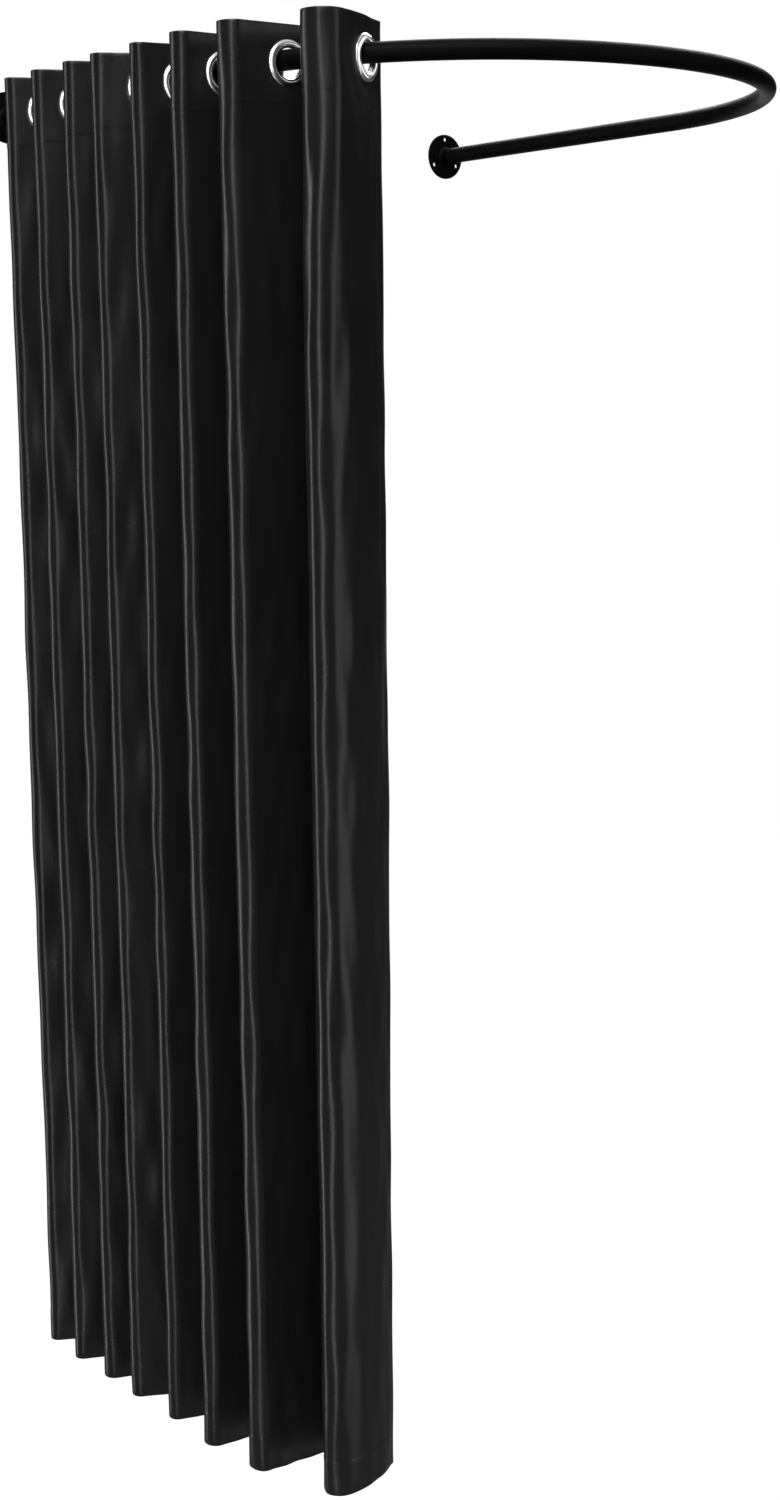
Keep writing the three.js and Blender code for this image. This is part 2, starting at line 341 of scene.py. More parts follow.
def tint(tree, value, dark, light):
    """Turns a 0 to 1 pattern into a colour. A mix node's inputs 6 and 7 and its output 2 are its colours."""
    node = add_node(tree, "ShaderNodeMix", data_type="RGBA")
    node.inputs[6].default_value = (*dark, 1)
    node.inputs[7].default_value = (*light, 1)
    link(tree, value, node.inputs["Factor"])
    return node.outputs[2]


def make_grained(name, scales, colours, roughness, bump):
    """A material in two tones. scales are of its grain and patches, and bump is a strength and a depth."""
    material, tree, shader = new_material(name)
    place = add_node(tree, "ShaderNodeTexCoord").outputs["Object"]
    grain = place_grain(tree, place, *scales)
    link(tree, tint(tree, grain.outputs["Patches"], *colours), shader.inputs["Base Color"])
    link(tree, spread(tree, grain.outputs["Patches"], *roughness), shader.inputs["Roughness"])
    strength, depth = bump
    bumped = add_node(tree, "ShaderNodeBump", Strength=strength, Distance=depth)
    link(tree, grain.outputs["Height"], bumped.inputs["Height"])
    link(tree, bumped.outputs["Normal"], shader.inputs["Normal"])
    return material, shader


def make_powder_coat():
    colours = (0.0016, 0.0016, 0.0017), (0.0026, 0.0026, 0.0028)
    material, shader = make_grained("black_powder_coat", (900, 14), colours, (0.48, 0.58), (0.35, 0.00012))
    shader.inputs["Specular IOR Level"].default_value = 0.07
    return material


def make_chrome():
    colours = (0.90, 0.905, 0.91), (0.955, 0.957, 0.96)
    material, shader = make_grained("bright_chrome", (260, 45), colours, (0.17, 0.24), (0.12, 0.00006))
    shader.inputs["Metallic"].default_value = 1
    return material


def make_thread():
    colours = (0.006, 0.006, 0.0065), (0.012, 0.012, 0.013)
    return make_grained("black_sewing_thread", (1500, 30), colours, (0.45, 0.6), (0.4, 0.0001))[0]


def make_cloth():
    """Close satin weave: long floats down the cloth, finer crossings, and soft crumples."""
    material, tree, shader = new_material("black_satin_cloth")
    shader.inputs["Specular IOR Level"].default_value = 0.5
    shader.inputs["Sheen Weight"].default_value = 0.01
    shader.inputs["Sheen Roughness"].default_value = 0.35
    cloth = add_node(tree, "ShaderNodeUVMap", uv_map="cloth").outputs["UV"]
    place = add_node(tree, "ShaderNodeTexCoord").outputs["Object"]
    grain = place_grain(tree, place, 620, 7)
    floats = add_node(tree, "ShaderNodeTexWave", wave_type="BANDS", bands_direction="X", wave_profile="SIN")
    crossings = add_node(tree, "ShaderNodeTexWave", wave_type="BANDS", bands_direction="DIAGONAL",
                         wave_profile="SIN")
    for texture, (scale, wander) in ((floats, FLOATS), (crossings, CROSSINGS)):
        texture.inputs["Scale"].default_value = scale
        texture.inputs["Distortion"].default_value = wander
        link(tree, cloth, texture.inputs["Vector"])
    weave = add_node(tree, "ShaderNodeMath", operation="MULTIPLY")
    link(tree, floats.outputs["Fac"], weave.inputs[0])
    link(tree, crossings.outputs["Fac"], weave.inputs[1])
    shade = add_node(tree, "ShaderNodeMath", operation="MULTIPLY_ADD")
    link(tree, weave.outputs["Value"], shade.inputs[0])
    shade.inputs[1].default_value = WEAVE_TONE
    link(tree, grain.outputs["Patches"], shade.inputs[2])
    link(tree, tint(tree, shade.outputs["Value"], *CLOTH_TONES), shader.inputs["Base Color"])
    link(tree, spread(tree, grain.outputs["Patches"], *CLOTH_ROUGHNESS), shader.inputs["Roughness"])

    stretch = add_node(tree, "ShaderNodeMapping", vector_type="POINT")
    stretch.inputs["Scale"].default_value = CRUMPLE_STRETCH
    link(tree, place, stretch.inputs["Vector"])
    crumple = add_node(tree, "ShaderNodeTexNoise", Scale=26.0, Detail=2.0, Roughness=0.45)
    link(tree, stretch.outputs["Vector"], crumple.inputs["Vector"])
    broad = add_node(tree, "ShaderNodeBump", Strength=0.35, Distance=0.003)
    link(tree, crumple.outputs["Fac"], broad.inputs["Height"])
    fine = add_node(tree, "ShaderNodeBump", Strength=0.22, Distance=0.00008)
    link(tree, weave.outputs["Value"], fine.inputs["Height"])
    link(tree, broad.outputs["Normal"], fine.inputs["Normal"])
    link(tree, fine.outputs["Normal"], shader.inputs["Normal"])
    return material


POWDER_COAT = make_powder_coat()
CHROME = make_chrome()
CLOTH = make_cloth()
THREAD = make_thread()


# Turned and swept metal

def turned(name, profile, material, sides=LATHE_SIDES, ripple=None):
    """Turns a closed profile of (radius, height) points about +Y."""
    points, faces = [], []
    count = len(profile)
    for i in range(sides):
        angle = 2 * math.pi * i / sides
        for radius, height in profile:
            if ripple:
                radius, height = ripple(radius, height, angle)
            points.append((radius * math.cos(angle), height, radius * math.sin(angle)))
    for i in range(sides):
        nxt = (i + 1) % sides
        for j in range(count):
            up = (j + 1) % count
            faces.append((i * count + j, i * count + up, nxt * count + up, nxt * count + j))
    piece = new_piece(name, points, faces, material)
    face_outwards(piece)
    return piece


def face_outwards(piece):
    shape = bmesh.new()
    shape.from_mesh(piece.data)
    bmesh.ops.recalc_face_normals(shape, faces=shape.faces)
    shape.to_mesh(piece.data)
    shape.free()


def settle(piece, place, turn=0.0):
    """Puts a piece where it belongs, in its mesh."""
    piece.data.transform(Matrix.Translation(place) @ Matrix.Rotation(turn, 4, "Z"))
    piece.data.update()


def make_tube():
    bend = [LEG_LENGTH + math.pi * BEND_RADIUS * i / BEND_STEPS for i in range(BEND_STEPS + 1)]
    line = []
    for along in [*LEG_STATIONS, *bend]:
        x, y = beside_rail(along, 0)
        line.append((x, y, max(along - LEG_LENGTH, 0) / BEND_RADIUS))
    line += [(BEND_RADIUS, -along, math.pi) for along in reversed(LEG_STATIONS)]
    points, faces = [], []
    radii = (TUBE_RADIUS, TUBE_RADIUS - TUBE_WALL)
    for x, y, turn in line:
        for radius in radii:
            for k in range(TUBE_SIDES):
                angle = 2 * math.pi * k / TUBE_SIDES
                aside = radius * math.cos(angle)
                points.append((x - aside * math.cos(turn), y - aside * math.sin(turn),
                               radius * math.sin(angle)))
    ring = 2 * TUBE_SIDES
    for i in range(len(line) - 1):
        for wall in (0, 1):
            for k in range(TUBE_SIDES):
                nxt = (k + 1) % TUBE_SIDES
                a, b = [i * ring + wall * TUBE_SIDES + corner for corner in (k, nxt)]
                faces.append((a, b, b + ring, a + ring))
    for end in (0, len(line) - 1):
        for k in range(TUBE_SIDES):
            a, b = end * ring + k, end * ring + (k + 1) % TUBE_SIDES
            faces.append((a, b, b + TUBE_SIDES, a + TUBE_SIDES))
    tube = new_piece("rail_tube", points, faces, POWDER_COAT)
    face_outwards(tube)
    sharpen(tube, degrees=40)
    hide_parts("u_rail")
    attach(tube, "rail_frame")


def cut_screw_hole(plate, angle):
    """Cuts a countersunk hole into a flange that still stands at the origin."""
    front = -FLANGE_THICKNESS
    cutter = turned("screw_cutter", [
        (CUTTER_CORE, CUTTER_PAST), (SCREW_HOLE, CUTTER_PAST), (SCREW_HOLE, front + COUNTERSINK),
        (SCREW_HEAD_HOLE, front), (SCREW_HEAD_HOLE, front - CUTTER_PAST), (CUTTER_CORE, front - CUTTER_PAST),
    ], POWDER_COAT, sides=CUTTER_SIDES)
    settle(cutter, (SCREW_CIRCLE * math.cos(angle), 0, SCREW_CIRCLE * math.sin(angle)))
    cut = plate.modifiers.new("hole", "BOOLEAN")
    cut.object = cutter
    cut.operation = "DIFFERENCE"
    cut.solver = "EXACT"
    apply_modifiers(plate)
    bpy.data.objects.remove(cutter)


def weld_ripple(radius, height, angle):
    wave = sum(depth * math.sin(count * angle + phase) for depth, count, phase in WELD_RIPPLES)
    return radius + wave * (radius > TUBE_RADIUS + WELD_STILL), height


def make_flange(side, x):
    front = -FLANGE_THICKNESS
    plate = turned(f"flange_{side}", [
        (FLANGE_HOLE, 0), (FLANGE_RADIUS, 0), (FLANGE_RADIUS, front + 2 * FLANGE_EDGE),
        (FLANGE_RADIUS - FLANGE_EDGE_CUT, front + FLANGE_EDGE),
        (FLANGE_RADIUS - FLANGE_EDGE, front + FLANGE_EDGE_CUT),
        (FLANGE_RADIUS - 2 * FLANGE_EDGE, front), (FLANGE_HOLE, front),
    ], POWDER_COAT)
    for i in range(SCREW_COUNT):
        cut_screw_hole(plate, math.pi / 2 + 2 * math.pi * i / SCREW_COUNT)
    settle(plate, (x, 0, 0))
    sharpen(plate, degrees=30)
    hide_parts(f"wall_flange_{side}")
    profile = [(TUBE_RADIUS + out, front - forward) for out, forward in WELD_PROFILE]
    weld = turned(f"weld_{side}", profile, POWDER_COAT, sides=WELD_SIDES, ripple=weld_ripple)
    settle(weld, (x, 0, 0))
    sharpen(weld, degrees=60)
    for piece in (plate, weld):
        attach(piece, "rail_frame")


def apply_modifiers(piece):
    graph = bpy.context.evaluated_depsgraph_get()
    made = bpy.data.meshes.new_from_object(piece.evaluated_get(graph))
    piece.modifiers.clear()
    old = piece.data
    piece.data = made
    bpy.data.meshes.remove(old)


make_tube()
make_flange("left", -BEND_RADIUS)
make_flange("right", BEND_RADIUS)


# The line of the cloth in plan

def crest_circles():
    """(along, outward, radius, side) of the circles that the cloth wraps round in turn."""
    def inner(along, share=1):
        return along, -FLAT_HALF - INSIDE_REACH, INNER_RADIUS * share, -1

    def outer(along, number):
        reach = FLAT_HALF + EXTRA_REACH * EXTRA_REACH_SHARES[number]
        return along, reach, OUTER_RADIUS * OUTER_RADIUS_SHARES[number], 1

    first_lean, last_lean = [FOLD_LEAN * share for share in HEM_LEAN_SHARES]
    along = FIRST_CREST
    first = outer(along, 0)
    circles = [inner(along - first[2] - INNER_RADIUS + first_lean), first]
    for i, spacing_share in enumerate(CREST_SPACING_SHARES):
        spacing, lean = CREST_SPACING * spacing_share, FOLD_LEAN * FOLD_LEAN_SHARES[i]
        circles.append(inner(along + spacing / 2 + lean, INNER_RADIUS_SHARES[i]))
        along += spacing
        circles.append(outer(along, i + 1))
    circles.append(inner(along + circles[-1][2] + INNER_RADIUS + last_lean))
    return circles


def limb_between(start, end):
    """The straight cloth from one circle to the next: its two ends and the vector square to it."""
    a, b = np.array(start[:2]), np.array(end[:2])
    apart = b - a
    length = np.linalg.norm(apart)
    share = (start[2] + end[2]) / length
    apart /= length
    aside = np.array([abs(apart[1]), -np.sign(apart[1]) * apart[0]])
    square = apart * share + aside * math.sqrt(1 - share * share)
    return a + square * start[2], b - square * end[2], square


def at_side_hem(start, square):
    """Where a limb from start, square to a vector, meets the line of the side hem."""
    past = (-SIDE_MARGIN - start[1]) / square[0]
    return np.array([start[0] - square[1] * past, -SIDE_MARGIN])


def cloth_line():
    """The middle line of the whole curtain, seen from above, with its eyelets and crests by length."""
    circles = crest_circles()
    limbs = [limb_between(circles[i], circles[i + 1]) for i in range(len(circles) - 1)]
    places, alongs, crests, eyelets = [], [], [], []
    length = 0.0

    def add(points, along):
        nonlocal length
        for point, value in zip(points, along):
            if places:
                length += float(np.linalg.norm(point - places[-1]))
            places.append(point)
            alongs.append(value)

    for i, (start, end, square) in enumerate(limbs):
        if i == 0:
            start = at_side_hem(start, square)
        if i == len(limbs) - 1:
            end = at_side_hem(start, square)
        a, b = beside_rail(start[0], start[1]), beside_rail(end[0], end[1])
        straight = float(np.linalg.norm(b - a))
        across = (b - a) * np.sign(start[1])
        share = start[1] / (start[1] - end[1])
        steps = np.linspace(0, 1, max(2, int(straight / PATH_STEP)) + 1)
        here = length + (float(np.linalg.norm(a - places[-1])) if places else 0.0)
        eyelets.append({
            "length": here + share * straight,
            "place": a + (b - a) * share,
            "turn": math.atan2(across[1], across[0]),
        })
        add(a + (b - a) * steps[:, None], start[0] + (end[0] - start[0]) * steps)
        if i < len(limbs) - 1:
            along, outward, radius, side = circles[i + 1]
            angle = math.atan2(square[1], square[0]) + math.pi
            following = limbs[i + 1][2]
            last = math.atan2(following[1], following[0]) + (0 if side > 0 else 2 * math.pi)
            angles = np.linspace(angle, last, ARC_POINTS)
            before = length
            arc = along + radius * np.cos(angles)
            add(beside_rail(arc, outward + radius * np.sin(angles))[1:], arc[1:])
            crests.append((before + length) / 2)
    places = np.array(places)
    lengths = np.concatenate([[0], np.cumsum(np.linalg.norm(np.diff(places, axis=0), axis=1))])
    return {"places": places, "along": np.array(alongs), "lengths": lengths, "eyelets": eyelets,
            "crests": crests}


LINE = cloth_line()
TOTAL = float(LINE["lengths"][-1])


def outer_normals():
    """Vectors square to the line of the cloth, towards its outer face."""
    tangents = np.gradient(LINE["places"], LINE["lengths"] + TINY * np.arange(len(LINE["lengths"])), axis=0)
    tangents /= np.maximum(np.linalg.norm(tangents, axis=1), TINY)[:, None]
    return np.stack([tangents[:, 1], -tangents[:, 0]], -1)


NORMALS = outer_normals()


def smooth_line(points):
    """A smooth curve through points: its points, and how long it is up to each."""
    points = np.array(points)
    ends = np.vstack([2 * points[0] - points[1], points, 2 * points[-1] - points[-2]])
    curve = []
    for i in range(1, len(ends) - 2):
        before, a, b, after = ends[i - 1:i + 3]
        for t in np.linspace(0, 1, CURVE_STEPS, endpoint=False):
            curve.append(0.5 * (2 * a + (b - before) * t + (2 * before - 5 * a + 4 * b - after) * t * t
                                + (3 * a - before - 3 * b + after) * t ** 3))
    curve = np.array(curve + [points[-1]])
    return curve, np.concatenate([[0], np.cumsum(np.linalg.norm(np.diff(curve, axis=0), axis=1))])


def table_at(where, lengths, table):
    """Both columns of a table that goes by length."""
    return np.stack([np.interp(where, lengths, table[:, i]) for i in (0, 1)], -1)


def foot_offsets():
    """How far each length of the front fold is at its foot from where it is at the top."""
    curve, lengths = smooth_line(FRONT_FOOT)
    where = np.concatenate([[0, LINE["eyelets"][-3]["length"]], TOTAL - lengths[-1] + lengths])
    top = table_at(where, LINE["lengths"], LINE["places"])
    offsets = np.zeros_like(top)
    offsets[2:] = curve - top[2:]
    return where, offsets


FOOT_LENGTHS, FOOT_OFFSETS = foot_offsets()


def sway_controls():
    """Soft waves down the cloth and how its foot has settled, for each crest, eyelet line and side hem."""
    draws = np.random.default_rng(SEED)
    stops = [(0.0, SWAY_AT_HEMS[0]), (TOTAL, SWAY_AT_HEMS[1])]
    stops += [(e["length"], SWAY_AT_EYELETS) for e in LINE["eyelets"]]
    stops += [(crest, SWAY_AT_CRESTS) for crest in LINE["crests"]]
    stops.sort()
    controls = []
    for length, amount in stops:
        waves = []
        for i in range(SWAY_WAVES):
            reach = draws.uniform(*SWAY_REACHES) * amount / (1 + SWAY_FADES * i)
            per_metre = draws.uniform(*SWAY_PER_METRE) * (1 + SWAY_RISES * i)
            phases = draws.uniform(0, 2 * math.pi), draws.uniform(0, 2 * math.pi)
            waves.append((reach, per_metre, phases))
        settled = draws.uniform(-SETTLING, SETTLING), draws.uniform(-SETTLING, SETTLING)
        controls.append({"length": length, "waves": waves, "settled": settled})
    return controls


CONTROLS = sway_controls()
STOPS = np.array([c["length"] for c in CONTROLS])
SETTLED = np.array([c["settled"] for c in CONTROLS])


def crumple_waves():
    """Waves across and down the cloth, per metre, with their phase and share."""
    draws = np.random.default_rng(SEED + 1)
    return [(draws.uniform(*CRUMPLES_ACROSS), draws.uniform(*CRUMPLES_DOWN) * draws.choice([-1, 1]),
             draws.uniform(0, 2 * math.pi), draws.uniform(*CRUMPLE_SHARES)) for _ in range(CRUMPLE_WAVES)]


CRUMPLES = crumple_waves()


def between_stops(length):
    index = np.clip(np.searchsorted(STOPS, length, side="right") - 1, 0, len(STOPS) - 2)
    return index, smoothstep(length, STOPS[index], STOPS[index + 1])


def sway(length, drop):
    """How far the cloth waves along the rail and outward, at each length and drop below the rail."""
    index, share = between_stops(length)
    every = np.arange(len(length))
    values = []
    for way in (0, 1):
        table = np.array([sum(reach * np.sin(2 * math.pi * per_metre * drop + phases[way])
                              for reach, per_metre, phases in control["waves"]) for control in CONTROLS])
        values.append((table[index, every] * (1 - share) + table[index + 1, every] * share) * SWAY)
    return values


def crumple(length, height):
    total = np.zeros(len(length))
    for across, down, phase, amount in CRUMPLES:
        total += amount * np.sin(2 * math.pi * (across * length + down * height) + phase)
    return total * CRUMPLE / 2


def held_by_rings(length, height, hold=RING_HOLD):
    """0 where a ring holds the cloth flat, rising to 1 away from it."""
    loose = np.ones(len(length))
    for eyelet in LINE["eyelets"]:
        away = np.hypot(length - eyelet["length"], height - GRID_CENTRE)
        loose *= smoothstep(away, *hold)
    return loose


def cloth_at(length, height):
    """Points on the middle of the cloth and the outward-facing vectors square to it."""
    loose = held_by_rings(length, height)
    held_at_top = held_by_rings(length, height, TOP_RING_HOLD)
    foot = np.clip((-FOOT_START - height) / (-FOOT_START - CURTAIN_BOTTOM), 0, 1)
    crest, ring, hem = LINE["crests"][-1], LINE["eyelets"][-1]["length"], TOTAL
    # How far the cloth has left its line at the top for its line at the foot
    towards_hem = smoothstep(length, ring - ROUND_TO_RING, hem)
    early = smoothstep(-height, *ROUNDING) * (1 - towards_hem)
    late = foot + (smoothstep(foot, *HEM_SETTLES) - foot) * towards_hem
    rounded = (late + (1 - late) * ROUND_SHARE * early) * loose

    def placed(where):
        index, share = between_stops(where)
        settled = SETTLED[index] * (1 - share)[:, None] + SETTLED[index + 1] * share[:, None]
        settled = settled * foot[:, None]
        plain = table_at(where, LINE["lengths"], LINE["places"])
        square = table_at(where, LINE["lengths"], NORMALS)
        plain = plain + table_at(where, FOOT_LENGTHS, FOOT_OFFSETS) * rounded[:, None]
        turn = np.maximum(np.interp(where, LINE["lengths"], LINE["along"]) - LEG_LENGTH, 0) / BEND_RADIUS
        aside, out = [value * loose for value in sway(where, -height)]
        limb = np.clip((where - crest) / (hem - crest), 0, 1)
        bulge = FRONT_BULGE * np.sin(math.pi * limb ** FRONT_BULGE_LEAN) * loose * (1 - rounded)
        bow = FRONT_BOW * np.exp(-((where - crest) / FRONT_BOW_ACROSS) ** 2)
        bow = bow * smoothstep(-height, *FRONT_BOW_STARTS) * (1 - foot)
        top = sum(by * np.exp(-((where - crest - place) / reach) ** 2) for by, place, reach in TOP_CHANGES)
        top = top * (1 - smoothstep(-height, *TOP_FADES)) * held_at_top
        out_by = settled[:, 1] + bulge + bow + top + crumple(where, height) * loose
        along_rail = np.stack([np.sin(turn), -np.cos(turn)], -1)
        outward = np.stack([-np.cos(turn), -np.sin(turn)], -1)
        aside = aside + settled[:, 0]
        return plain + square * out_by[:, None] + along_rail * aside[:, None] + outward * out[:, None]

    ahead, behind = np.minimum(length + TANGENT_STEP, TOTAL), np.maximum(length - TANGENT_STEP, 0)
    tangent = placed(ahead) - placed(behind)
    tangent /= np.linalg.norm(tangent, axis=1)[:, None]
    points = np.concatenate([placed(length), height[:, None]], axis=1)
    square = np.stack([tangent[:, 1], -tangent[:, 0], np.zeros(len(length))], -1)
    return points, square


def half_thickness(length, height):
    """Half the thickness of the cloth, which is thicker in the hems and rounded at the edges."""
    inside = np.minimum(length, TOTAL - length)
    hem = np.maximum(smoothstep(height, TOP_HEM_LINE - STEP_WIDTH, TOP_HEM_LINE),
                     smoothstep(-height, -BOTTOM_HEM_LINE - STEP_WIDTH, -BOTTOM_HEM_LINE))
    hem = np.maximum(hem, smoothstep(-inside, -SIDE_HEM - STEP_WIDTH, -SIDE_HEM))
    half = CLOTH_HALF + (HEM_HALF - CLOTH_HALF) * hem
    edge = np.minimum(np.minimum(CURTAIN_TOP - height, height - CURTAIN_BOTTOM), inside)
    return EDGE_HALF + (half - EDGE_HALF) * smoothstep(edge, *EDGE_ROUND)


def row_heights():
    near = [GRID_CENTRE + CELL * j for j in range(ROUND_CELLS, -ROUND_CELLS - 1, -1)]
    rows = [CURTAIN_TOP - step for step in EDGE_STEPS] + near
    rows += [TOP_HEM_LINE + STEP_MARGIN, TOP_HEM_LINE, TOP_HEM_LINE - STEP_WIDTH]
    start, end = rows[-1] - STEP_MARGIN, BOTTOM_HEM_LINE + STEP_WIDTH + STEP_MARGIN
    count = round((start - end) / ROW_STEP)
    rows += [start + (end - start) * i / count for i in range(count + 1)]
    rows += [BOTTOM_HEM_LINE + STEP_WIDTH, BOTTOM_HEM_LINE, BOTTOM_HEM_LINE - STEP_MARGIN, *BOTTOM_HEM_ROWS]
    rows += [CURTAIN_BOTTOM + step for step in reversed(EDGE_STEPS)]
    return np.array(rows)


def column_lengths(start, end, from_hem, to_hem):
    """Lengths along the cloth of a strip's columns, closest where an eyelet or a hem is."""
    def near(hem):
        if hem:
            return [*EDGE_STEPS, *SIDE_HEM_COLUMNS, SIDE_HEM - STEP_MARGIN, SIDE_HEM,
                    SIDE_HEM + STEP_WIDTH, SIDE_HEM + STEP_WIDTH + STEP_MARGIN]
        return [CELL * i for i in range(ROUND_CELLS + 1)]

    first = [start + x for x in near(from_hem)]
    last = [end - x for x in near(to_hem)][::-1]
    room = last[0] - first[-1]
    if room < COLUMN_STEP:
        last = [x for x in last if x > first[-1] + COLUMN_STEP / 2]
        return np.array(first + last)
    count = max(1, round(room / COLUMN_STEP))
    return np.array(first + [first[-1] + room * i / count for i in range(1, count)] + last)


def round_off(length, height, eyelet):
    """Moves the square grid round an eyelet on to circles, so that the hole in the cloth is round."""
    aside, up = length - eyelet["length"], height - GRID_CENTRE
    reach = np.maximum(np.abs(aside), np.abs(up))
    away = np.hypot(aside, up)
    scale = reach / np.maximum(away, TINY)
    share = smoothstep(reach, HOLE_CELLS * CELL, ROUND_CELLS * CELL)
    round_aside, round_up = aside * scale, up * scale + eyelet["height"] - GRID_CENTRE
    new_aside = round_aside * (1 - share) + aside * share
    new_up = round_up * (1 - share) + up * share
    return eyelet["length"] + new_aside, GRID_CENTRE + new_up


def strip_sides(number):
    """The eyelets at a strip's sides, None at a side hem, and the lengths where it starts and ends."""
    eyelets = LINE["eyelets"]
    before = eyelets[number - 1] if number > 0 else None
    after = eyelets[number] if number < len(eyelets) else None
    start = before["length"] if before else 0.0
    end = after["length"] if after else TOTAL
    return before, after, start, end


def closed_sheet(keep):
    """A two-sided sheet from the kept cells of a grid: the points in use, the faces and the rim's edges."""
    down, across = keep.shape[0] + 1, keep.shape[1] + 1
    grid = np.arange(down * across).reshape(down, across)
    cells = [(grid[r, c], grid[r, c + 1], grid[r + 1, c + 1], grid[r + 1, c])
             for r in range(down - 1) for c in range(across - 1) if keep[r, c]]
    used = np.unique(np.array(cells))
    renumber = -np.ones(down * across, int)
    renumber[used] = np.arange(len(used))
    cells = renumber[np.array(cells)]
    count = len(used)
    edges = {}
    for cell in cells:
        for k in range(4):
            a, b = int(cell[k]), int(cell[(k + 1) % 4])
            if (b, a) in edges:
                del edges[(b, a)]
            else:
                edges[(a, b)] = True
    faces = [tuple(cell) for cell in cells]
    faces += [tuple(int(x) + count for x in cell[::-1]) for cell in cells]
    faces += [(b, a, a + count, b + count) for a, b in edges]
    return used, faces, edges


def mark_strip(mesh, edges, flat):
    """Sharp edges round a strip's rim, and a map of the flat cloth in metres for the weave."""
    count = len(flat)
    sharp = {frozenset(pair) for a, b in edges for pair in ((a, b), (a + count, b + count))}
    attribute = mesh.attributes.new("sharp_edge", "BOOLEAN", "EDGE")
    attribute.data.foreach_set("value", [frozenset(edge.vertices) in sharp for edge in mesh.edges])
    layer = mesh.uv_layers.new(name="cloth")
    corners = np.empty(len(mesh.loops), int)
    mesh.loops.foreach_get("vertex_index", corners)
    layer.data.foreach_set("uv", np.concatenate([flat, flat])[corners].ravel())
    mesh.update()


def make_strip(number, rows):
    """The cloth between two eyelet lines, or between an eyelet line and a side hem, and its flat width."""
    before, after, start, end = strip_sides(number)
    columns = column_lengths(start, end, before is None, after is None)
    length, height = [g.ravel() for g in np.meshgrid(columns, rows)]
    flat = np.stack([length, height], -1)
    keep = np.ones((len(rows) - 1, len(columns) - 1), bool)
    middle_up = np.abs((rows[1:] + rows[:-1]) / 2 - GRID_CENTRE)[:, None]
    middle = (columns[1:] + columns[:-1]) / 2
    inner, outer = HOLE_CELLS * CELL, ROUND_CELLS * CELL
    for eyelet in (before, after):
        if eyelet is None:
            continue
        keep &= ~((middle_up < inner) & (np.abs(middle - eyelet["length"])[None] < inner))
        away = np.maximum(np.abs(length - eyelet["length"]), np.abs(height - GRID_CENTRE))
        near = away < outer
        length[near], height[near] = round_off(length[near], height[near], eyelet)
    points, square = cloth_at(length, height)
    half = half_thickness(length, height)[:, None]
    used, faces, edges = closed_sheet(keep)
    sides = np.concatenate([(points + square * half)[used], (points - square * half)[used]])
    strip = new_piece(f"curtain_strip_{number:02d}", sides, faces, CLOTH)
    mark_strip(strip.data, edges, flat[used])
    return strip, end - start


def make_stitch_tree():
    """Stitches along lines: each point of a resampled line gets a small round stitch on the cloth."""
    tree = bpy.data.node_groups.new("sewn_line", "GeometryNodeTree")
    tree.is_modifier = True
    tree.interface.new_socket("Lines", in_out="INPUT", socket_type="NodeSocketGeometry")
    for name, value in STITCH_SIZES:
        socket = tree.interface.new_socket(name, in_out="INPUT", socket_type="NodeSocketFloat")
        socket.default_value = value
    tree.interface.new_socket("Thread", in_out="INPUT", socket_type="NodeSocketMaterial")
    tree.interface.new_socket("Stitches", in_out="OUTPUT", socket_type="NodeSocketGeometry")
    given = add_node(tree, "NodeGroupInput")
    out = add_node(tree, "NodeGroupOutput")
    curve = add_node(tree, "GeometryNodeMeshToCurve")
    spaced = add_node(tree, "GeometryNodeResampleCurve", mode="LENGTH")
    ball = add_node(tree, "GeometryNodeMeshIcoSphere", Radius=0.5, Subdivisions=1)
    size = add_node(tree, "ShaderNodeCombineXYZ")
    tangent = add_node(tree, "GeometryNodeInputTangent")
    square = add_node(tree, "GeometryNodeInputNamedAttribute", data_type="FLOAT_VECTOR")
    square.inputs["Name"].default_value = "square"
    turn = add_node(tree, "FunctionNodeAxesToRotation", primary_axis="X", secondary_axis="Z")
    placed = add_node(tree, "GeometryNodeInstanceOnPoints")
    real = add_node(tree, "GeometryNodeRealizeInstances")
    coloured = add_node(tree, "GeometryNodeSetMaterial")
    smooth = add_node(tree, "GeometryNodeSetShadeSmooth")
    link(tree, given.outputs["Lines"], curve.inputs["Mesh"])
    link(tree, curve.outputs["Curve"], spaced.inputs["Curve"])
    link(tree, given.outputs["Pitch"], spaced.inputs["Length"])
    link(tree, spaced.outputs["Curve"], placed.inputs["Points"])
    link(tree, ball.outputs["Mesh"], placed.inputs["Instance"])
    link(tree, tangent.outputs["Tangent"], turn.inputs["Primary Axis"])
    link(tree, square.outputs["Attribute"], turn.inputs["Secondary Axis"])
    link(tree, turn.outputs["Rotation"], placed.inputs["Rotation"])
    link(tree, given.outputs["Stitch length"], size.inputs["X"])
    link(tree, given.outputs["Thread width"], size.inputs["Y"])
    link(tree, given.outputs["Thread width"], size.inputs["Z"])
    link(tree, size.outputs["Vector"], placed.inputs["Scale"])
    link(tree, placed.outputs["Instances"], real.inputs["Geometry"])
    link(tree, real.outputs["Geometry"], smooth.inputs["Geometry"])
    link(tree, smooth.outputs["Geometry"], coloured.inputs["Geometry"])
    link(tree, given.outputs["Thread"], coloured.inputs["Material"])
    link(tree, coloured.outputs["Geometry"], out.inputs["Stitches"])
    return tree


STITCH_TREE = make_stitch_tree()


